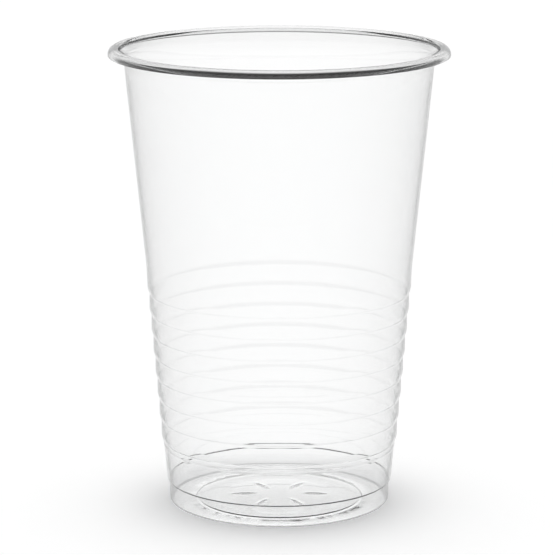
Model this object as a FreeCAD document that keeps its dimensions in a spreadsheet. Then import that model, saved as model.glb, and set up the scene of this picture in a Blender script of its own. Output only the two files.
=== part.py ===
import FreeCAD, Part

import math
import os

import Sketcher

# A thin moulded drinking cup: one wall of even thickness, from the raised centre
# of its base up to the neck, where it grows into a thicker, turned-down rim. The
# frame's origin is the middle of the circle that the foot stands on, and Z points
# up out of the mouth. All in mm.

SIZES = [
    ("wall", "0.28", "thickness of the wall and the base"),
    ("cup_height", "95.6", "foot to the top of the rim"),
    ("rim_radius", "35.15", "outside of the rim"),
    ("rim_width", "2.3", "rim, from the mouth to its outside"),
    ("rim_depth", "1.6", "top of the rim down to its turned-down edge"),
    ("rim_top", "0.46", "thickness of the rim's top over the hollow"),
    ("rim_round", "1.2", "rounding from the rim's top to its outside"),
    ("mouth_round", "0.45", "rounding from the rim's top to the mouth"),
    ("mouth_depth", "1.0", "top of the rim down to the foot of the upright mouth"),
    ("edge_width", "0.85", "foot of the turned-down edge"),
    ("edge_round", "0.15", "outer rounding of that foot"),
    ("edge_slope", "0.75", "how far the edge's inner face leans in above its foot"),
    ("crease_drop", "2.1", "top of the rim down to the crease under the mouth"),
    ("crease_inset", "0.52", "outer crease inside the mouth circle"),
    ("crease_wall", "0.48", "thickness of the wall at that crease"),
    ("neck_drop", "3.3", "top of the rim down to the top of the cone"),
    ("neck_inset", "1.02", "outside of the cone's top, inside the mouth circle"),
    ("shoulder_rise", "5.0", "top ring's ledge up to the foot of the cone"),
    ("shoulder_lean", "0.12", "how far the wall opens over that height"),
    ("ring_count", "8", "stepped rings round the lower half"),
    ("ring_pitch", "4.51", "height of one ring"),
    ("ring_step", "0.384", "how much wider each ring is than the one below"),
    ("ring_tuck", "0.3", "how far each ring's wall turns in at its foot"),
    ("ring_bend", "0.85", "height over which it turns in"),
    ("ring_overhang", "0.46", "lowest ring beyond the collar below it"),
    ("collar_height", "1.2", "narrow collar under the lowest ring"),
    ("collar_step", "0.16", "collar beyond the band below it"),
    ("band_height", "7.3", "plain band between the step and the collar"),
    ("band_flare", "0.6", "how far the band opens over its height"),
    ("step_height", "4.5", "foot up to the overhanging step"),
    ("step_overhang", "0.45", "step beyond the upright base"),
    ("base_radius", "23.05", "outside of the upright base"),
    ("heel_round", "0.8", "rounding between the base and the foot"),
    ("recess_radius", "17.4", "inner edge of the foot ring"),
    ("recess_slope", "0.25", "width of the slope inside the foot ring"),
    ("recess_rise", "0.35", "base panel above the foot"),
    ("dome_radius", "12.0", "raised centre of the base panel"),
    ("dome_height", "0.25", "raised centre above the panel"),
    ("spoke_count", "6", "spokes moulded on the raised centre"),
    ("spoke_width", "0.7", "width of a spoke"),
    ("spoke_height", "0.2", "spoke above the raised centre"),
    ("spoke_start", "5.0", "inner end of a spoke from the axis"),
    ("spoke_end", "9.8", "outer end of a spoke from the axis"),
]

ON_AXIS = None
ON_FLOOR = None


def make_sheet(doc):
    """The driving dimensions, one row each: its value, name and meaning."""
    sheet = doc.addObject("Spreadsheet::Sheet", "Sizes")
    for row, (alias, value, meaning) in enumerate(SIZES, start=1):
        sheet.set(f"A{row}", value)
        sheet.setAlias(f"A{row}", alias)
        sheet.set(f"B{row}", meaning)
    doc.recompute()
    return sheet


def total(*names):
    """An expression that adds sizes, or takes off those that start with a minus."""
    text = ""
    for name in names:
        sign = "-" if name.startswith("-") else "+"
        text += f" {sign} Sizes.{name.lstrip('-')}"
    return text[3:] if text.startswith(" + ") else text.strip()


class Outline:
    """A closed outline in the XZ plane whose corners and arcs follow the sheet."""

    def __init__(self, sheet):
        self.sheet = sheet
        self.corners = []

    def line_to(self, across, up):
        self.corners.append((across, up, None, 1))

    def arc_to(self, across, up, radius, side):
        """side is 1 with the arc's centre on the left of the way, -1 on the right."""
        self.corners.append((across, up, radius, side))

    def value(self, expression):
        return float(self.sheet.evalExpression(expression)) if expression else 0.0

    def place(self, corner):
        return FreeCAD.Vector(self.value(corner[0]), self.value(corner[1]), 0)

    def edge(self, here, there):
        """The line between two corners, or the arc, which runs anticlockwise."""
        start, end = self.place(here), self.place(there)
        radius, side = self.value(there[2]), there[3]
        if not radius:
            return Part.LineSegment(start, end)
        chord = end - start
        outward = FreeCAD.Vector(chord.y, -chord.x, 0).normalize() * side
        sagitta = radius - math.sqrt(max(radius**2 - chord.Length**2 / 4, 0))
        crown = start + chord / 2 + outward * sagitta
        return Part.Arc(start, crown, end) if side > 0 else Part.Arc(end, crown, start)

    def draw(self, sketch):
        """Adds the edges, joins them, and ties corners and radii to the sheet."""
        following = self.corners[1:] + self.corners[:1]
        edges = [self.edge(*pair) for pair in zip(self.corners, following)]
        sketch.addGeometry(edges, False)
        starts = [(n, 1 if corner[3] > 0 else 2) for n, corner in enumerate(following)]
        for n, corner in enumerate(following):
            edge_end = (n, 3 - starts[n][1])
            next_start = starts[(n + 1) % len(starts)]
            sketch.addConstraint(Sketcher.Constraint("Coincident", *edge_end, *next_start))
            if corner[2]:
                tie(sketch, "Radius", (n,), self.value(corner[2]), corner[2])
        for corner, start in zip(self.corners, starts):
            self.hold(sketch, "DistanceX", start, corner[0], -2)
            self.hold(sketch, "DistanceY", start, corner[1], -1)

    def hold(self, sketch, kind, point, expression, axis):
        """Keeps a corner at its distance, or on the sketch's own axis."""
        if expression:
            tie(sketch, kind, (-1, 1, *point), self.value(expression), expression)
        else:
            sketch.addConstraint(Sketcher.Constraint("PointOnObject", *point, axis))


def tie(sketch, kind, where, value, expression):
    """A dimension of a sketch that follows an expression on the sheet."""
    number = sketch.addConstraint(Sketcher.Constraint(kind, *where, value))
    sketch.setExpression(f"Constraints[{number}]", expression)


def own(body, role):
    """One of the body's own origin planes or axes."""
    return next(f for f in body.Origin.OriginFeatures if f.Role == role)


def add_sketch(body, name, outline):
    sketch = body.newObject("Sketcher::SketchObject", name)
    sketch.AttachmentSupport = [(own(body, "XZ_Plane"), "")]
    sketch.MapMode = "FlatFace"
    outline.draw(sketch)
    return sketch


# Radii of the outer face, each from the one below it
STEP = ("base_radius", "step_overhang")
BAND = (*STEP, "band_flare")
COLLAR = (*BAND, "collar_step")
LOWEST_RING = (*COLLAR, "ring_overhang")
MOUTH = ("rim_radius", "-rim_width")
NECK = (*MOUTH, "-neck_inset")
CREASE = (*MOUTH, "-crease_inset")
EDGE_FOOT = ("rim_radius", "-edge_width")

# Heights of the outer face
BAND_TOP = ("step_height", "band_height")
RINGS_FOOT = (*BAND_TOP, "collar_height")
RIM_UNDERSIDE = ("cup_height", "-rim_depth")

DOME_CURVE = "(Sizes.dome_radius ^ 2 + Sizes.dome_height ^ 2) / (2 * Sizes.dome_height)"
SLOPE_SHIFT = "Sizes.wall * tan(atan(Sizes.recess_rise / Sizes.recess_slope) / 2)"
BEND_SHIFT = "Sizes.wall * tan(atan(Sizes.ring_tuck / Sizes.ring_bend) / 2)"


def ring_radius(number):
    return f"{total(*LOWEST_RING)} + {number} * Sizes.ring_step"


def ring_ledge(number):
    return f"{total(*RINGS_FOOT)} + {number} * Sizes.ring_pitch"


def dome_at(across, *above):
    """Height of the raised centre at a distance from the axis, and what is on it."""
    fall = f"({DOME_CURVE}) - sqrt(({DOME_CURVE}) ^ 2 - Sizes.{across} ^ 2)"
    return f"{total('recess_rise', 'dome_height')} - ({fall}) + {' + '.join(above)}"


def draw_base(outline):
    """The underside from the axis to the heel, then up to the foot of the rings."""
    outline.line_to(ON_AXIS, total("recess_rise", "dome_height"))
    outline.arc_to(total("dome_radius"), total("recess_rise"), DOME_CURVE, -1)
    outline.line_to(total("recess_radius", "-recess_slope"), total("recess_rise"))
    outline.line_to(total("recess_radius"), ON_FLOOR)
    outline.line_to(total("base_radius", "-heel_round"), ON_FLOOR)
    outline.arc_to(total("base_radius"), total("heel_round"), total("heel_round"), 1)
    outline.line_to(total("base_radius"), total("step_height"))
    outline.line_to(total(*STEP), total("step_height"))
    outline.line_to(total(*BAND), total(*BAND_TOP))
    outline.line_to(total(*COLLAR), total(*BAND_TOP))
    outline.line_to(total(*COLLAR), total(*RINGS_FOOT))


def draw_rings(outline, ring_count):
    """Stepped rings, each with a narrow ledge and a wall that turns in at its foot."""
    for number in range(ring_count):
        radius, ledge = ring_radius(number), ring_ledge(number)
        outline.line_to(f"{radius} - Sizes.ring_tuck", ledge)
        outline.line_to(radius, f"{ledge} + Sizes.ring_bend")
        if number < ring_count - 1:
            outline.line_to(radius, ring_ledge(number + 1))


def draw_rim(outline, ring_count):
    """The cone, the neck, and the turned-down rim round to the mouth."""
    top_ring, top_ledge = ring_radius(ring_count - 1), ring_ledge(ring_count - 1)
    outline.line_to(f"{top_ring} + Sizes.shoulder_lean", f"{top_ledge} + Sizes.shoulder_rise")
    outline.line_to(total(*NECK), total("cup_height", "-neck_drop"))
    outline.line_to(total(*CREASE), total("cup_height", "-crease_drop"))
    outline.line_to(total(*EDGE_FOOT, "-edge_slope"), total("cup_height", "-rim_top"))
    outline.line_to(total(*EDGE_FOOT), total(*RIM_UNDERSIDE))
    outline.line_to(total("rim_radius", "-edge_round"), total(*RIM_UNDERSIDE))
    edge_round, rim_round = total("edge_round"), total("rim_round")
    outline.arc_to(total("rim_radius"), total(*RIM_UNDERSIDE, "edge_round"), edge_round, 1)
    outline.line_to(total("rim_radius"), total("cup_height", "-rim_round"))
    outline.arc_to(total("rim_radius", "-rim_round"), total("cup_height"), rim_round, 1)
    outline.line_to(total(*MOUTH, "mouth_round"), total("cup_height"))
    outline.arc_to(total(*MOUTH), total("cup_height", "-mouth_round"), total("mouth_round"), 1)
    outline.line_to(total(*MOUTH), total("cup_height", "-mouth_depth"))


def draw_inside(outline, ring_count):
    """The inner face from the mouth down, a wall inside the outer one."""
    outline.line_to(total(*CREASE, "-crease_wall"), total("cup_height", "-crease_drop"))
    outline.line_to(total(*NECK, "-wall"), total("cup_height", "-neck_drop"))
    top = ring_count - 1
    outline.line_to(
        f"{ring_radius(top)} + Sizes.shoulder_lean - Sizes.wall",
        f"{ring_ledge(top)} + Sizes.shoulder_rise",
    )
    for number in reversed(range(ring_count)):
        below = ring_radius(number - 1) if number else total(*COLLAR)
        bend_foot = f"{ring_ledge(number)} + {BEND_SHIFT}"
        outline.line_to(f"{ring_radius(number)} - Sizes.wall", f"{bend_foot} + Sizes.ring_bend")
        outline.line_to(f"{below} - Sizes.wall", bend_foot)
    outline.line_to(total(*COLLAR, "-wall"), total(*BAND_TOP, "wall"))
    outline.line_to(total(*BAND, "-wall"), total(*BAND_TOP, "wall"))
    outline.line_to(total(*STEP, "-wall"), total("step_height", "wall"))
    outline.line_to(total("base_radius", "-wall"), total("step_height", "wall"))
    outline.line_to(total("base_radius", "-wall"), total("heel_round"))
    heel = total("heel_round", "-wall")
    outline.arc_to(total("base_radius", "-heel_round"), total("wall"), heel, -1)
    outline.line_to(f"Sizes.recess_radius + {SLOPE_SHIFT}", total("wall"))
    panel = total("recess_rise", "wall")
    outline.line_to(f"{total('recess_radius', '-recess_slope')} + {SLOPE_SHIFT}", panel)
    outline.line_to(total("dome_radius"), panel)
    outline.arc_to(ON_AXIS, total("recess_rise", "dome_height", "wall"), DOME_CURVE, 1)


def add_wall(body, sheet):
    """The whole wall, turned once round the axis."""
    ring_count = int(sheet.ring_count)
    outline = Outline(sheet)
    draw_base(outline)
    draw_rings(outline, ring_count)
    draw_rim(outline, ring_count)
    draw_inside(outline, ring_count)
    wall = body.newObject("PartDesign::Revolution", "Wall")
    wall.Profile = add_sketch(body, "WallSection", outline)
    wall.ReferenceAxis = (wall.Profile[0], ["V_Axis"])
    wall.Angle = 360
    return wall


def add_spokes(body, sheet):
    """Low spokes round the raised centre of the base, rooted in its wall."""
    root = "Sizes.wall / 2"
    crest = total("wall", "spoke_height")
    start, end = total("spoke_start"), total("spoke_end")
    outline = Outline(sheet)
    outline.line_to(start, dome_at("spoke_start", root))
    outline.arc_to(end, dome_at("spoke_end", root), DOME_CURVE, -1)
    outline.line_to(end, dome_at("spoke_end", crest))
    outline.arc_to(start, dome_at("spoke_start", crest), DOME_CURVE, 1)
    spoke = body.newObject("PartDesign::Pad", "Spoke")
    spoke.Profile = add_sketch(body, "SpokeSection", outline)
    spoke.Midplane = True
    spoke.setExpression("Length", "Sizes.spoke_width")
    body.Document.recompute()
    spokes = body.newObject("PartDesign::PolarPattern", "Spokes")
    spokes.Originals = [spoke]
    spokes.Axis = (own(body, "Z_Axis"), [""])
    spokes.Angle = 360
    spokes.setExpression("Occurrences", "Sizes.spoke_count")
    body.Tip = spokes


def make_cup(doc, sheet):
    body = doc.addObject("PartDesign::Body", "Cup")
    body.Label = "cup"
    wall = add_wall(body, sheet)
    doc.recompute()
    plain_volume = wall.Shape.Volume
    add_spokes(body, sheet)
    doc.recompute()
    if body.Shape.Volume <= plain_volume:
        raise RuntimeError("the spokes added nothing to the base")
    body.Placement = FreeCAD.Placement()
    return body


def check(doc, parts):
    """Stops the script if any object failed or any part has no sound shape."""
    for item in doc.Objects:
        if "Invalid" in item.State or "Error" in item.State:
            raise RuntimeError(f"{item.Name} failed: {item.State}")
    for part in parts:
        shape = part.Shape
        if shape.isNull() or not shape.isValid() or len(shape.Solids) != 1:
            raise RuntimeError(f"{part.Label} has no sound solid")


def main():
    doc = FreeCAD.newDocument("Cup")
    parts = [make_cup(doc, make_sheet(doc))]
    doc.recompute()
    check(doc, parts)
    os.makedirs("parts", exist_ok=True)
    for part in parts:
        part.Shape.exportStep(f"parts/{part.Label}.step")
        print(part.Label, f"{part.Shape.Volume:.0f} mm3", part.Shape.BoundBox)


main()
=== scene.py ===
import math

import bmesh
import bpy
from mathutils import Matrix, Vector


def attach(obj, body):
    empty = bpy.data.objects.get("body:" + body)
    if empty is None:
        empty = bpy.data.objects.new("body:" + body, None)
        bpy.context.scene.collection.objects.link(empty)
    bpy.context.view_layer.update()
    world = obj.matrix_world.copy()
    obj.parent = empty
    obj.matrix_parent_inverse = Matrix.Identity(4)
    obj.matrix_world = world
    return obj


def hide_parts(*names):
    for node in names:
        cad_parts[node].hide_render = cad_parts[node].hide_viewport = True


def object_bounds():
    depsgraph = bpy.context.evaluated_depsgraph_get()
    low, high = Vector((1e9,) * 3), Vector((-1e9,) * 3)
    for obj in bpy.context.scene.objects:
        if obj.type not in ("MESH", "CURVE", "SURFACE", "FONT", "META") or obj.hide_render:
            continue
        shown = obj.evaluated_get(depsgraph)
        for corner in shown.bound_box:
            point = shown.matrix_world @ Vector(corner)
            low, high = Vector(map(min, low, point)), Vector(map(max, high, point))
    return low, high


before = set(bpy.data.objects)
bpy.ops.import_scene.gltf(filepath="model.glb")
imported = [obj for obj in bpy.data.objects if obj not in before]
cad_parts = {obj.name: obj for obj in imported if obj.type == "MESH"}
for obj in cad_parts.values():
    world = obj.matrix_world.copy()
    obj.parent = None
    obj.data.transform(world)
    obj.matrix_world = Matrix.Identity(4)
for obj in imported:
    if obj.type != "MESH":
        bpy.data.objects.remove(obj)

bl_info = {
    "name": "Clear Drinking Cup",
    "version": (1, 0, 0),
    "blender": (4, 5, 0),
    "location": "View3D > Sidebar > Cup",
    "description": "Builds a thin clear plastic drinking cup with stepped rings and a turned-down rim",
    "category": "Add Mesh",
}

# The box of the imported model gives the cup's height and the reach of its rim
CAD_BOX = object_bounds()
BOX_TOP = CAD_BOX[1].z
BOX_REACH = CAD_BOX[1].x
MM = 0.001
WHITE = (1.0, 1.0, 1.0, 1.0)
# Below this cosine the wall is seen fully edge on
LEAST_COSINE = 0.04
# Points nearer than this are one point, and runs longer than the other are divided
SAME_PLACE = 0.002 * MM
LONGEST_RUN = 4.0 * MM
# How many straight pieces a softened corner and each arc of the section have
SOFTENING_STEPS = 3
DOME_STEPS = 14
HEEL_STEPS = 6
EDGE_STEPS = 4
RIM_STEPS = 12
MOUTH_STEPS = 8
QUARTER = math.pi / 2.0
FLOOR_SIDES = 96
# The painted light on the floor under the cup comes in over this width at its edge
PAINTED_LIGHT_BLEND = 0.4 * MM


def length(name, description, default):
    """A size of the cup, in metres, that a user can change in the panel."""
    return bpy.props.FloatProperty(
        name=name, description=description, default=default, unit="LENGTH", precision=5
    )


class CupSizes(bpy.types.PropertyGroup):
    """Sizes of the cup, read from the outer face of its wall."""

    height: length("Height", "Foot to the top of the rim", BOX_TOP)
    rim_radius: length("Rim radius", "Outside of the rim", BOX_REACH)
    wall: length("Wall", "Thickness of the wall and the base", 0.28 * MM)
    rim_width: length("Rim width", "Rim from the mouth to its outside", 2.3 * MM)
    rim_depth: length("Rim depth", "Top of the rim down to its turned-down edge", 1.6 * MM)
    rim_top: length("Rim top", "Thickness of the rim over the hollow", 0.46 * MM)
    rim_round: length("Rim rounding", "From the rim's top to its outside", 1.2 * MM)
    mouth_round: length("Mouth rounding", "From the rim's top to the mouth", 0.45 * MM)
    mouth_depth: length("Mouth depth", "Foot of the upright mouth below the top", 1.0 * MM)
    edge_width: length("Edge width", "Foot of the turned-down edge", 0.85 * MM)
    edge_round: length("Edge rounding", "Outer rounding of that foot", 0.15 * MM)
    edge_slope: length("Edge slope", "How far the edge leans in inside", 0.75 * MM)
    edge_soft: length("Edge softening", "Inner corner of that foot", 0.1 * MM)
    hollow_soft: length("Hollow softening", "Top of the hollow under the rim", 0.12 * MM)
    crease_drop: length("Crease drop", "Crease under the mouth below the top", 2.1 * MM)
    crease_inset: length("Crease inset", "Outer crease inside the mouth", 0.52 * MM)
    crease_wall: length("Crease wall", "Thickness at that crease", 0.48 * MM)
    crease_soft: length("Crease softening", "Outer and inner crease", 0.25 * MM)
    mouth_soft: length("Mouth softening", "Foot of the upright mouth", 0.15 * MM)
    neck_drop: length("Neck drop", "Top of the rim down to the cone", 3.3 * MM)
    neck_inset: length("Neck inset", "Outside of the cone's top inside the mouth", 1.02 * MM)
    shoulder_rise: length("Shoulder rise", "Top ledge up to the cone", 5.0 * MM)
    shoulder_lean: length("Shoulder lean", "How far the wall opens there", 0.12 * MM)
    shoulder_soft: length("Shoulder softening", "Bend where the cone starts", 1.5 * MM)
    ring_pitch: length("Ring pitch", "Height of one ring", 4.51 * MM)
    ring_step: length("Ring step", "How much wider each ring is", 0.384 * MM)
    ring_tuck: length("Ring tuck", "How far a ring turns in at its foot", 0.3 * MM)
    ring_bend: length("Ring bend", "Height over which it turns in", 1.0 * MM)
    ring_crown: length("Ring crown", "How far a ring draws in at its top", 0.05 * MM)
    crown_height: length("Crown height", "Height over which it draws in", 0.8 * MM)
    crown_soft: length("Crown softening", "Bend where it starts", 0.4 * MM)
    ledge_below: length("Ledge below", "Foot of the sloping ledge below its middle", 0.1 * MM)
    ledge_above: length("Ledge above", "Top of that ledge above its middle", 0.12 * MM)
    ledge_foot_soft: length("Ledge foot softening", "Corner at the ledge's foot", 0.09 * MM)
    ledge_top_soft: length("Ledge top softening", "Corner at the ledge's top", 0.16 * MM)
    bend_soft: length("Bend softening", "Top of the stretch that turns in", 0.5 * MM)
    lowest_ring: length("Lowest ring", "Radius of the lowest ring", 24.72 * MM)
    collar_radius: length("Collar radius", "Narrow collar under the rings", 24.26 * MM)
    collar_height: length("Collar height", "Height of that collar", 1.2 * MM)
    collar_slope: length("Collar slope", "Half the height of the slope under it", 0.25 * MM)
    collar_soft: length("Collar softening", "Corners of that slope", 0.2 * MM)
    band_height: length("Band height", "Plain band under the collar", 7.3 * MM)
    band_top: length("Band top", "Radius of the band's upper end", 24.10 * MM)
    step_radius: length("Step radius", "Lower edge of the band", 23.50 * MM)
    step_height: length("Step height", "Foot up to the overhanging step", 4.5 * MM)
    step_soft: length("Step softening", "Outer corner of the step", 0.31 * MM)
    step_root_soft: length("Step root softening", "Inner corner of the step", 0.1 * MM)
    base_radius: length("Base radius", "Outside of the upright base", 23.05 * MM)
    heel_round: length("Heel rounding", "Rounding between base and foot", 0.8 * MM)
    recess_radius: length("Recess radius", "Inner edge of the foot ring", 17.4 * MM)
    recess_slope: length("Recess slope", "Width of the slope inside it", 0.25 * MM)
    recess_rise: length("Recess rise", "Base panel above the foot", 0.35 * MM)
    recess_soft: length("Recess softening", "Corners of that slope", 0.12 * MM)
    dome_radius: length("Dome radius", "Raised centre of the base", 12.0 * MM)
    dome_height: length("Dome height", "Raised centre above the panel", 0.25 * MM)
    spoke_width: length("Spoke width", "Width of a spoke on the raised centre", 0.9 * MM)
    spoke_height: length("Spoke height", "Spoke above the raised centre", 0.12 * MM)
    spoke_start: length("Spoke start", "Inner end of a spoke from the axis", 5.0 * MM)
    spoke_end: length("Spoke end", "Outer end of a spoke from the axis", 9.8 * MM)
    spoke_fade: length("Spoke fade", "How far from its ends a spoke is full height", 0.6 * MM)
    ring_count: bpy.props.IntProperty(
        name="Rings", description="Stepped rings round the lower half", default=8, min=1
    )
    spoke_count: bpy.props.IntProperty(
        name="Spokes", description="Low spokes on the raised centre", default=6, min=1
    )
    sides: bpy.props.IntProperty(
        name="Sides", description="Faces round the cup", default=200, min=32
    )


class CupFinish(bpy.types.PropertyGroup):
    """The look of the plastic."""

    tint: bpy.props.FloatVectorProperty(
        name="Tint",
        description="Colour of the plastic seen face on",
        subtype="COLOR",
        size=4,
        min=0.0,
        max=1.0,
        default=(0.984, 0.986, 0.986, 1.0),
    )
    # Painted shade: the dark colour the plastic is given towards its outline, where it is seen edge on
    painted_edge_shade: bpy.props.FloatVectorProperty(
        name="Edge tint",
        description="Colour of the plastic seen edge on, where light runs along it",
        subtype="COLOR",
        size=4,
        min=0.0,
        max=1.0,
        default=(0.02, 0.022, 0.024, 1.0),
    )
    bending: bpy.props.FloatProperty(
        name="Refractive index",
        description="How strongly the plastic bends light",
        default=1.5,
        min=1.0,
        max=2.0,
    )
    # Painted shade: the share of the plain tint that stays for each further wall of slant; the rest
    # goes to the dark edge colour
    tint_share: bpy.props.FloatProperty(
        name="Light kept",
        description="Share of light that stays for each further wall of way through the plastic",
        default=0.905,
        min=0.0,
        max=1.0,
    )
    # Painted shade: how much faster the plastic is darkened close to its outline
    edge_shade_gain: bpy.props.FloatProperty(
        name="Edge gain",
        description="How much faster the light goes near the outline, where it is led away",
        default=0.04,
        min=0.0,
    )
    foot_light: bpy.props.FloatProperty(
        name="Light through the foot",
        description="Share of light from outside that reaches the floor through the foot",
        default=0.003,
        min=0.0,
        max=1.0,
    )
    foot_height: length("Foot height", "Height of the foot that shades the floor", 13.0 * MM)
    cloud_scale: bpy.props.FloatProperty(
        name="Cloud scale", description="Fineness of the clouds in the gloss", default=160.0
    )
    most_roughness: bpy.props.FloatProperty(
        name="Most roughness", description="Roughness in the middle of a cloud", default=0.03
    )
    sway_scale: bpy.props.FloatProperty(
        name="Sway scale", description="Fineness of the moulded wall's unevenness", default=60.0
    )
    sway_share: bpy.props.FloatProperty(
        name="Sway share", description="How strongly that unevenness shows", default=0.1
    )
    sway_depth: length("Sway depth", "Depth of that unevenness", 0.05 * MM)


class StageSettings(bpy.types.PropertyGroup):
    """The floor, the light and the camera."""

    floor_colour: bpy.props.FloatVectorProperty(
        name="Floor colour",
        description="Colour of the floor",
        subtype="COLOR",
        size=4,
        min=0.0,
        max=1.0,
        default=(0.9, 0.9, 0.9, 1.0),
    )
    floor_glow: bpy.props.FloatProperty(
        name="Floor glow",
        description="Light that the floor sends to the camera by itself",
        default=0.12,
        min=0.0,
    )
    # Painted light: the floor under the cup glows brighter than the rest, for what is seen through the
    # cup's base
    painted_light_under_cup: bpy.props.FloatProperty(
        name="Glow under the cup",
        description="The same for the floor that is seen through the cup's base",
        default=0.46,
        min=0.0,
    )
    painted_light_edge: length("Glow edge", "Radius of the floor under the cup", 23.0 * MM)
    white_to: bpy.props.FloatProperty(
        name="White up to",
        description="Height above the horizon up to which the surroundings are white",
        subtype="ANGLE",
        default=math.radians(10.7),
    )
    dark_from: bpy.props.FloatProperty(
        name="Dark from",
        description="Height above the horizon from which the surroundings are dark",
        subtype="ANGLE",
        default=math.radians(19.2),
    )
    overhead: bpy.props.FloatProperty(
        name="Overhead",
        description="Brightness overhead, as the plastic shows it",
        default=0.015,
        min=0.0,
    )
    back_light: bpy.props.FloatProperty(
        name="Back light",
        description="How much more of the floor's light comes from behind the cup",
        default=0.6,
        min=0.0,
        max=1.0,
    )
    floor_radius: length("Floor radius", "Radius of the round floor", 12.0)
    floor_gap: length("Floor gap", "Air between the foot and the floor", 0.02 * MM)
    camera_distance: length("Camera distance", "Camera to the middle of the view", 0.640)
    camera_height: length("View height", "Height of the middle of the view", 47.3 * MM)
    camera_side: length("View side", "Middle of the view beside the cup's axis", -0.58 * MM)
    camera_rise: bpy.props.FloatProperty(
        name="Camera rise",
        description="How far the camera looks down",
        subtype="ANGLE",
        default=math.radians(12.12),
    )
    camera_lens: bpy.props.FloatProperty(
        name="Lens", description="Focal length in millimetres", default=199.7, min=1.0
    )
    sensor_width: bpy.props.FloatProperty(
        name="Sensor width", description="Width of the picture plane in millimetres", default=36.0
    )
    bounces: bpy.props.IntProperty(
        name="Bounces", description="How often light may bounce or pass through", default=24, min=1
    )
    gloss_bounces: bpy.props.IntProperty(
        name="Gloss bounces", description="How often gloss may mirror it", default=16, min=1
    )


def line_to(mesh, tip, across, up):
    """Extrudes the end of the wall's line to a place beside the axis."""
    end = bmesh.ops.extrude_vert_indiv(mesh, verts=[tip])["verts"][0]
    end.co = (across, 0.0, up)
    return end


def arc_to(mesh, tip, centre, angle, steps):
    """Turns the end of the wall's line round a centre, anticlockwise as seen from the front."""
    turned = bmesh.ops.spin(
        mesh,
        geom=[tip],
        cent=(centre[0], 0.0, centre[1]),
        axis=(0.0, -1.0, 0.0),
        angle=angle,
        steps=steps,
    )
    return next(item for item in turned["geom_last"] if isinstance(item, bmesh.types.BMVert))


def soften(mesh, corners):
    """Rounds corners of the wall's line, each from its distance either side."""
    for corner, reach in corners:
        bmesh.ops.bevel(
            mesh,
            geom=[corner],
            affect="VERTICES",
            offset_type="OFFSET",
            offset=reach,
            segments=SOFTENING_STEPS,
            profile=0.5,
            material=-1,
            clamp_overlap=True,
        )


def draw_base(mesh, sizes):
    """The underside from the axis to the heel. Returns its end and its corners."""
    panel = sizes.recess_rise
    rise, reach = sizes.dome_height, sizes.dome_radius
    curve = (reach**2 + rise**2) / (2.0 * rise)
    tip = mesh.verts.new((0.0, 0.0, panel + rise))
    dome_turn = math.asin(reach / curve)
    tip = arc_to(mesh, tip, (0.0, panel + rise - curve), -dome_turn, DOME_STEPS)
    corners = []
    tip = line_to(mesh, tip, sizes.recess_radius - sizes.recess_slope, panel)
    corners.append((tip, sizes.recess_soft))
    tip = line_to(mesh, tip, sizes.recess_radius, 0.0)
    corners.append((tip, sizes.recess_soft))
    heel = sizes.base_radius - sizes.heel_round
    tip = line_to(mesh, tip, heel, 0.0)
    tip = arc_to(mesh, tip, (heel, sizes.heel_round), QUARTER, HEEL_STEPS)
    return tip, corners


def draw_band(mesh, tip, sizes):
    """The upright base, the overhanging step, the plain band and the collar."""
    corners = []
    step, band = sizes.step_height, sizes.step_height + sizes.band_height
    collar = band + sizes.collar_height
    tip = line_to(mesh, tip, sizes.base_radius, step)
    corners.append((tip, sizes.step_root_soft))
    tip = line_to(mesh, tip, sizes.step_radius, step)
    corners.append((tip, sizes.step_soft))
    tip = line_to(mesh, tip, sizes.band_top, band - sizes.collar_slope)
    corners.append((tip, sizes.collar_soft))
    tip = line_to(mesh, tip, sizes.collar_radius, band + sizes.collar_slope)
    corners.append((tip, sizes.collar_soft))
    return tip, corners, collar


def draw_rings(mesh, tip, sizes, foot):
    """The stepped rings: each bulges over the one below and draws in at its top."""
    corners = []
    below = sizes.collar_radius
    for number in range(sizes.ring_count):
        radius = sizes.lowest_ring + number * sizes.ring_step
        ledge = foot + number * sizes.ring_pitch
        crown = sizes.ring_crown if number else 0.0
        tip = line_to(mesh, tip, below - crown, ledge - sizes.ledge_below)
        corners.append((tip, sizes.ledge_foot_soft))
        tip = line_to(mesh, tip, radius - sizes.ring_tuck, ledge + sizes.ledge_above)
        corners.append((tip, sizes.ledge_top_soft))
        tip = line_to(mesh, tip, radius, ledge + sizes.ring_bend)
        corners.append((tip, sizes.bend_soft))
        if number < sizes.ring_count - 1:
            crown_foot = ledge + sizes.ring_pitch - sizes.crown_height
            tip = line_to(mesh, tip, radius, crown_foot)
            corners.append((tip, sizes.crown_soft))
        below = radius
    return tip, corners


def draw_cone(mesh, tip, sizes, foot):
    """The plain wall above the rings, up to the neck."""
    top_ring = sizes.lowest_ring + (sizes.ring_count - 1) * sizes.ring_step
    top_ledge = foot + (sizes.ring_count - 1) * sizes.ring_pitch
    shoulder = line_to(mesh, tip, top_ring + sizes.shoulder_lean, top_ledge + sizes.shoulder_rise)
    neck = sizes.rim_radius - sizes.rim_width - sizes.neck_inset
    line_to(mesh, shoulder, neck, sizes.height - sizes.neck_drop)
    return [(shoulder, sizes.shoulder_soft)]


def draw_wall_line(mesh, sizes):
    """The outer face of the wall as one line in the XZ plane, from the axis to the neck."""
    tip, corners = draw_base(mesh, sizes)
    tip, more, foot = draw_band(mesh, tip, sizes)
    corners += more
    tip, more = draw_rings(mesh, tip, sizes, foot)
    corners += more
    corners += draw_cone(mesh, tip, sizes, foot)
    soften(mesh, corners)


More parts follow.
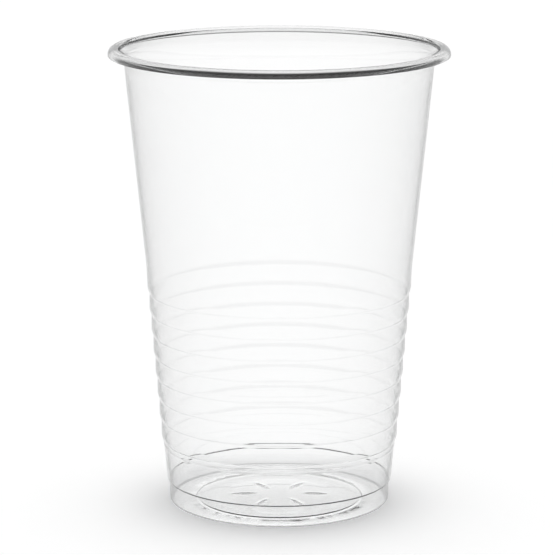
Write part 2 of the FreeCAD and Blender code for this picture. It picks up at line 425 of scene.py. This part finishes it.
def draw_rim_line(mesh, sizes, outside, inside):
    """The rim's section, from the neck's outer end over the mouth to its inner end."""
    mouth = sizes.rim_radius - sizes.rim_width
    crease = mouth - sizes.crease_inset
    edge = sizes.rim_radius - sizes.edge_width
    underside = sizes.height - sizes.rim_depth
    corners = []
    tip = mesh.verts.new((outside[0], 0.0, outside[1]))
    tip = line_to(mesh, tip, crease, sizes.height - sizes.crease_drop)
    corners.append((tip, sizes.crease_soft))
    tip = line_to(mesh, tip, edge - sizes.edge_slope, sizes.height - sizes.rim_top)
    corners.append((tip, sizes.hollow_soft))
    tip = line_to(mesh, tip, edge, underside)
    corners.append((tip, sizes.edge_soft))
    centre = (sizes.rim_radius - sizes.edge_round, underside + sizes.edge_round)
    tip = line_to(mesh, tip, centre[0], underside)
    tip = arc_to(mesh, tip, centre, QUARTER, EDGE_STEPS)
    centre = (sizes.rim_radius - sizes.rim_round, sizes.height - sizes.rim_round)
    tip = line_to(mesh, tip, sizes.rim_radius, centre[1])
    tip = arc_to(mesh, tip, centre, QUARTER, RIM_STEPS)
    centre = (mouth + sizes.mouth_round, sizes.height - sizes.mouth_round)
    tip = line_to(mesh, tip, centre[0], sizes.height)
    tip = arc_to(mesh, tip, centre, QUARTER, MOUTH_STEPS)
    tip = line_to(mesh, tip, mouth, sizes.height - sizes.mouth_depth)
    corners.append((tip, sizes.mouth_soft))
    tip = line_to(mesh, tip, crease - sizes.crease_wall, sizes.height - sizes.crease_drop)
    corners.append((tip, sizes.crease_soft))
    line_to(mesh, tip, inside[0], inside[1])
    soften(mesh, corners)


def split_long_runs(mesh):
    """Divides long straight runs, so that the faces of the wall stay well shaped."""
    for edge in mesh.edges[:]:
        cuts = int(edge.calc_length() // LONGEST_RUN)
        if cuts:
            bmesh.ops.subdivide_edges(mesh, edges=[edge], cuts=cuts)


def turn(mesh, line, sides):
    """Turns a line of points and edges once round the cup's axis."""
    bmesh.ops.spin(
        mesh,
        geom=line,
        cent=(0.0, 0.0, 0.0),
        axis=(0.0, 0.0, 1.0),
        angle=2.0 * math.pi,
        steps=sides,
        use_merge=True,
    )


def add_rim(mesh, sizes):
    """Opens the top of the wall and joins the rim to its two ends."""
    neck = sizes.height - sizes.neck_drop - sizes.wall / 2.0
    closing = [face for face in mesh.faces if all(vert.co.z > neck for vert in face.verts)]
    ends = {(vert.co.xy.length, vert.co.z) for face in closing for vert in face.verts}
    bmesh.ops.delete(mesh, geom=closing, context="FACES")
    wall_verts, wall_edges = set(mesh.verts), set(mesh.edges)
    draw_rim_line(mesh, sizes, max(ends), min(ends))
    line = [item for item in mesh.verts if item not in wall_verts]
    line += [item for item in mesh.edges if item not in wall_edges]
    turn(mesh, line, sizes.sides)
    bmesh.ops.remove_doubles(mesh, verts=mesh.verts[:], dist=SAME_PLACE)
    bmesh.ops.recalc_face_normals(mesh, faces=mesh.faces[:])


def raise_spokes(mesh, sizes):
    """Lifts low rounded spokes on the upper face of the base's raised centre."""
    top = sizes.recess_rise + sizes.dome_height + 2.0 * sizes.wall
    share = 2.0 * math.pi / sizes.spoke_count
    for vert in mesh.verts:
        across = vert.co.xy.length
        if vert.normal.z < 0.5 or vert.co.z > top:
            continue
        angle = math.atan2(vert.co.y, vert.co.x)
        off = abs(across * math.sin((angle + share / 2.0) % share - share / 2.0))
        from_end = min(across - sizes.spoke_start, sizes.spoke_end - across)
        if off < sizes.spoke_width and from_end > 0.0:
            ridge = math.cos(off / sizes.spoke_width * QUARTER) ** 2
            vert.co.z += sizes.spoke_height * ridge * min(1.0, from_end / sizes.spoke_fade)


def make_cup(sizes, foot_height):
    """Turns the wall's line round the axis and gives it its thickness."""
    mesh = bmesh.new()
    draw_wall_line(mesh, sizes)
    split_long_runs(mesh)
    turn(mesh, mesh.verts[:] + mesh.edges[:], sizes.sides)
    bmesh.ops.remove_doubles(mesh, verts=mesh.verts[:], dist=SAME_PLACE)
    bmesh.ops.recalc_face_normals(mesh, faces=mesh.faces[:])
    # The open wall's faces are first turned to look out, so that it thickens inwards
    lowest = min(mesh.faces, key=lambda face: face.calc_center_median().z)
    if lowest.normal.z > 0.0:
        bmesh.ops.reverse_faces(mesh, faces=mesh.faces[:])
    bmesh.ops.solidify(mesh, geom=mesh.faces[:], thickness=sizes.wall)
    add_rim(mesh, sizes)
    mesh.normal_update()
    raise_spokes(mesh, sizes)
    for face in mesh.faces:
        face.smooth = True
        middle = face.calc_center_median()
        outside = face.normal.xy.dot(middle.xy) > 0.0 and middle.xy.length > sizes.recess_radius
        face.material_index = int(outside and middle.z < foot_height)
    data = bpy.data.meshes.new("clear_cup")
    mesh.to_mesh(data)
    mesh.free()
    return data


def connect(links, source, socket):
    """Feeds a socket from another node's output, or sets it to a plain value."""
    if isinstance(source, bpy.types.NodeSocket):
        links.new(source, socket)
    else:
        socket.default_value = source


def calculate(tree, operation, first, second=0.0):
    """A Math node on numbers or outputs. Returns its result."""
    node = tree.nodes.new("ShaderNodeMath")
    node.operation = operation
    connect(tree.links, first, node.inputs[0])
    connect(tree.links, second, node.inputs[1])
    return node.outputs["Value"]


def pick(tree, kind, switch, when_off, when_on):
    """A blend of two numbers, colours or directions, by a share from 0 to 1."""
    node = tree.nodes.new("ShaderNodeMix")
    node.data_type = kind
    connect(tree.links, switch, node.inputs["Factor"])
    connect(tree.links, when_off, node.inputs["A"])
    connect(tree.links, when_on, node.inputs["B"])
    return node.outputs["Result"]


def noise(tree, scale, detail):
    """Soft clouds that stay in place on the cup. Returns their height."""
    place = tree.nodes.new("ShaderNodeTexCoord")
    clouds = tree.nodes.new("ShaderNodeTexNoise")
    clouds.inputs["Scale"].default_value = scale
    clouds.inputs["Detail"].default_value = detail
    tree.links.new(place.outputs["Object"], clouds.inputs["Vector"])
    return clouds.outputs["Fac"]


def plain_form(tree, sizes):
    """The direction that the cup's plain form faces: wall and rim outwards, base up."""
    place = tree.nodes.new("ShaderNodeTexCoord")
    spot = tree.nodes.new("ShaderNodeSeparateXYZ")
    tree.links.new(place.outputs["Object"], spot.inputs["Vector"])
    sideways = tree.nodes.new("ShaderNodeCombineXYZ")
    tree.links.new(spot.outputs["X"], sideways.inputs["X"])
    tree.links.new(spot.outputs["Y"], sideways.inputs["Y"])
    across = tree.nodes.new("ShaderNodeVectorMath")
    across.operation = "LENGTH"
    tree.links.new(sideways.outputs["Vector"], across.inputs[0])
    outwards = tree.nodes.new("ShaderNodeVectorMath")
    outwards.operation = "NORMALIZE"
    tree.links.new(sideways.outputs["Vector"], outwards.inputs[0])
    base_edge = sizes.base_radius - sizes.heel_round / 2.0
    in_base = calculate(tree, "LESS_THAN", across.outputs["Value"], base_edge)
    return pick(tree, "VECTOR", in_base, outwards.outputs["Vector"], (0.0, 0.0, 1.0))


def painted_edge_shade_by_slant(tree, finish, sizes):
    """Share of the plain tint kept where the wall is seen at a slant; the rest is painted shade, dark
    towards the outline.

    The way through a thin wall grows as one over the cosine of the slant, and the painted shade grows
    with it, faster near the outline."""
    slant = tree.nodes.new("ShaderNodeLayerWeight")
    slant.inputs["Blend"].default_value = 0.5
    tree.links.new(plain_form(tree, sizes), slant.inputs["Normal"])
    cosine = calculate(tree, "SUBTRACT", 1.0, slant.outputs["Facing"])
    cosine = calculate(tree, "MAXIMUM", cosine, LEAST_COSINE)
    longer = calculate(tree, "SUBTRACT", calculate(tree, "DIVIDE", 1.0, cosine), 1.0)
    cubed = calculate(tree, "POWER", longer, 3.0)
    longer = calculate(tree, "ADD", longer, calculate(tree, "MULTIPLY", cubed, finish.edge_shade_gain))
    return calculate(tree, "POWER", finish.tint_share, longer)


def lights_floor(tree):
    """1 for light on its way to the floor, and otherwise 0."""
    path = tree.nodes.new("ShaderNodeLightPath")
    return calculate(tree, "GREATER_THAN", path.outputs["Diffuse Depth"], 0.5)


def foot_shade(tree, finish):
    """Keeps back some of the light that would reach the floor through the foot."""
    shape = tree.nodes.new("ShaderNodeNewGeometry")
    lighting = lights_floor(tree)
    entering = calculate(tree, "SUBTRACT", 1.0, shape.outputs["Backfacing"])
    dimmed = calculate(tree, "MULTIPLY", lighting, entering)
    dimmed = calculate(tree, "MULTIPLY", dimmed, 1.0 - finish.foot_light)
    return calculate(tree, "SUBTRACT", 1.0, dimmed)


def clear_plastic(finish, sizes, name, shades_floor):
    """Clear plastic with painted shade that darkens it where it is seen edge on."""
    material = bpy.data.materials.new(name)
    material.use_nodes = True
    tree = material.node_tree
    nodes, links = tree.nodes, tree.links
    nodes.clear()
    output = nodes.new("ShaderNodeOutputMaterial")
    plastic = nodes.new("ShaderNodeBsdfPrincipled")
    plastic.inputs["Transmission Weight"].default_value = 1.0
    plastic.inputs["IOR"].default_value = finish.bending
    links.new(plastic.outputs["BSDF"], output.inputs["Surface"])
    # Painted shade: the plain tint goes over to the dark edge colour by the slant, in the colour and
    # in the gloss's tint; it is left out for light on its way to the floor
    tint_share = calculate(tree, "MAXIMUM", painted_edge_shade_by_slant(tree, finish, sizes), lights_floor(tree))
    if shades_floor:
        tint_share = calculate(tree, "MULTIPLY", tint_share, foot_shade(tree, finish))
    tint_with_painted_shade = pick(tree, "RGBA", tint_share, finish.painted_edge_shade, finish.tint)
    links.new(tint_with_painted_shade, plastic.inputs["Base Color"])
    links.new(tint_with_painted_shade, plastic.inputs["Specular Tint"])
    clouds = noise(tree, finish.cloud_scale, detail=2.0)
    roughness = calculate(tree, "MULTIPLY", clouds, finish.most_roughness)
    links.new(roughness, plastic.inputs["Roughness"])
    bump = nodes.new("ShaderNodeBump")
    bump.inputs["Strength"].default_value = finish.sway_share
    bump.inputs["Distance"].default_value = finish.sway_depth
    links.new(noise(tree, finish.sway_scale, detail=1.0), bump.inputs["Height"])
    links.new(bump.outputs["Normal"], plastic.inputs["Normal"])
    return material


class CUP_OT_add_cup(bpy.types.Operator):
    """Adds the cup as one moulded piece of clear plastic"""

    bl_idname = "clear_cup.add_cup"
    bl_label = "Add cup"

    def execute(self, context):
        scene = context.scene
        data = make_cup(scene.cup_sizes, scene.cup_finish.foot_height)
        cup = bpy.data.objects.new("clear_cup", data)
        scene.collection.objects.link(cup)
        for name, shades_floor in (("clear_moulded_plastic", False), ("clear_plastic_foot", True)):
            plastic = clear_plastic(scene.cup_finish, scene.cup_sizes, name, shades_floor)
            data.materials.append(plastic)
        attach(cup, "root")
        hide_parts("cup")
        return {"FINISHED"}


def floor_material(stage):
    """A pale floor that reaches white for the camera, with a painted pool of light under the cup,
    where it glows most of all.
    """
    material = bpy.data.materials.new("pale_floor")
    material.use_nodes = True
    tree = material.node_tree
    nodes, links = tree.nodes, tree.links
    nodes.clear()
    output = nodes.new("ShaderNodeOutputMaterial")
    matt = nodes.new("ShaderNodeBsdfDiffuse")
    matt.inputs["Color"].default_value = stage.floor_colour
    glow = nodes.new("ShaderNodeEmission")
    place = nodes.new("ShaderNodeTexCoord")
    across = nodes.new("ShaderNodeVectorMath")
    across.operation = "LENGTH"
    links.new(place.outputs["Object"], across.inputs[0])
    # Painted light: a brighter glow on the floor within the cup's foot, seen through its base
    under = nodes.new("ShaderNodeMapRange")
    under.inputs["From Min"].default_value = stage.painted_light_edge
    under.inputs["From Max"].default_value = stage.painted_light_edge - PAINTED_LIGHT_BLEND
    under.inputs["To Min"].default_value = stage.floor_glow
    under.inputs["To Max"].default_value = stage.painted_light_under_cup
    links.new(across.outputs["Value"], under.inputs["Value"])
    strength = calculate(tree, "MULTIPLY", seen_directly(tree), under.outputs["Result"])
    links.new(strength, glow.inputs["Strength"])
    both = nodes.new("ShaderNodeAddShader")
    links.new(matt.outputs["BSDF"], both.inputs[0])
    links.new(glow.outputs["Emission"], both.inputs[1])
    links.new(both.outputs["Shader"], output.inputs["Surface"])
    return material


def seen_in_plastic(tree, path):
    """1 for what gloss mirrors or clear plastic lets through, and otherwise 0."""
    gloss, through = path.outputs["Is Glossy Ray"], path.outputs["Is Transmission Ray"]
    return calculate(tree, "MAXIMUM", gloss, through)


def seen_directly(tree):
    """1 for what the camera sees by itself, in gloss or through plastic, and otherwise 0."""
    path = tree.nodes.new("ShaderNodeLightPath")
    shown = seen_in_plastic(tree, path)
    return calculate(tree, "MAXIMUM", path.outputs["Is Camera Ray"], shown)


def make_floor(scene, stage):
    """A round floor, wide enough to reach past every view."""
    mesh = bmesh.new()
    bmesh.ops.create_circle(mesh, cap_ends=True, segments=FLOOR_SIDES, radius=stage.floor_radius)
    data = bpy.data.meshes.new("floor")
    mesh.to_mesh(data)
    mesh.free()
    floor = bpy.data.objects.new("floor", data)
    floor.location.z = CAD_BOX[0].z - stage.floor_gap
    scene.collection.objects.link(floor)
    data.materials.append(floor_material(stage))


def make_world(scene, stage):
    """White round the horizon and dark overhead for what the plastic shows.

    The light for the floor is soft and a little brighter from behind the cup."""
    world = bpy.data.worlds.new("studio")
    scene.world = world
    world.use_nodes = True
    tree = world.node_tree
    nodes, links = tree.nodes, tree.links
    nodes.clear()
    output = nodes.new("ShaderNodeOutputWorld")
    sky = nodes.new("ShaderNodeBackground")
    sky.inputs["Color"].default_value = WHITE
    links.new(sky.outputs["Background"], output.inputs["Surface"])
    place = nodes.new("ShaderNodeTexCoord")
    way = nodes.new("ShaderNodeSeparateXYZ")
    links.new(place.outputs["Generated"], way.inputs["Vector"])
    rise = nodes.new("ShaderNodeMapRange")
    rise.inputs["From Min"].default_value = math.sin(stage.white_to)
    rise.inputs["From Max"].default_value = math.sin(stage.dark_from)
    rise.inputs["To Min"].default_value = 1.0
    rise.inputs["To Max"].default_value = stage.overhead
    links.new(way.outputs["Z"], rise.inputs["Value"])
    shown = seen_in_plastic(tree, nodes.new("ShaderNodeLightPath"))
    lighting = lights_floor(tree)
    shown = calculate(tree, "MULTIPLY", shown, calculate(tree, "SUBTRACT", 1.0, lighting))
    lean = calculate(tree, "MULTIPLY", way.outputs["Y"], stage.back_light)
    soft = calculate(tree, "ADD", 1.0, lean)
    light = pick(tree, "FLOAT", lighting, 1.0, soft)
    strength = pick(tree, "FLOAT", shown, light, rise.outputs["Result"])
    links.new(strength, sky.inputs["Strength"])


def make_camera(scene, stage):
    """The camera stands in front of the cup and looks a little down on it."""
    data = bpy.data.cameras.new("camera")
    data.lens = stage.camera_lens
    data.sensor_width = stage.sensor_width
    data.clip_end = 4.0 * stage.floor_radius
    camera = bpy.data.objects.new("camera", data)
    scene.collection.objects.link(camera)
    target = Vector((stage.camera_side, 0.0, stage.camera_height))
    back = Vector((0.0, -math.cos(stage.camera_rise), math.sin(stage.camera_rise)))
    camera.location = target + back * stage.camera_distance
    camera.rotation_mode = "QUATERNION"
    camera.rotation_quaternion = (-back).to_track_quat("-Z", "Y")
    scene.camera = camera


class CUP_OT_add_stage(bpy.types.Operator):
    """Adds the pale floor, the soft light round it and the camera"""

    bl_idname = "clear_cup.add_stage"
    bl_label = "Add stage"

    def execute(self, context):
        scene, stage = context.scene, context.scene.cup_stage
        make_floor(scene, stage)
        make_world(scene, stage)
        make_camera(scene, stage)
        scene.view_settings.view_transform = "Standard"
        scene.cycles.max_bounces = stage.bounces
        scene.cycles.transmission_bounces = stage.bounces
        scene.cycles.glossy_bounces = stage.gloss_bounces
        scene.cycles.blur_glossy = 0.0
        return {"FINISHED"}


class CUP_PT_panel(bpy.types.Panel):
    """Sizes, finish and stage of the cup"""

    bl_idname = "CUP_PT_panel"
    bl_label = "Clear Cup"
    bl_space_type = "VIEW_3D"
    bl_region_type = "UI"
    bl_category = "Cup"

    def draw(self, context):
        scene = context.scene
        for title, group, operator in (
            ("Sizes", scene.cup_sizes, CUP_OT_add_cup),
            ("Finish", scene.cup_finish, None),
            ("Stage", scene.cup_stage, CUP_OT_add_stage),
        ):
            box = self.layout.box()
            box.label(text=title)
            for name in group.__annotations__:
                box.prop(group, name)
            if operator:
                box.operator(operator.bl_idname)


CLASSES = (CupSizes, CupFinish, StageSettings, CUP_OT_add_cup, CUP_OT_add_stage, CUP_PT_panel)


def register():
    for each in CLASSES:
        bpy.utils.register_class(each)
    bpy.types.Scene.cup_sizes = bpy.props.PointerProperty(type=CupSizes)
    bpy.types.Scene.cup_finish = bpy.props.PointerProperty(type=CupFinish)
    bpy.types.Scene.cup_stage = bpy.props.PointerProperty(type=StageSettings)


def unregister():
    del bpy.types.Scene.cup_stage
    del bpy.types.Scene.cup_finish
    del bpy.types.Scene.cup_sizes
    for each in reversed(CLASSES):
        bpy.utils.unregister_class(each)


def main():
    register()
    bpy.ops.clear_cup.add_stage()
    bpy.ops.clear_cup.add_cup()


if __name__ == "__main__":
    main()
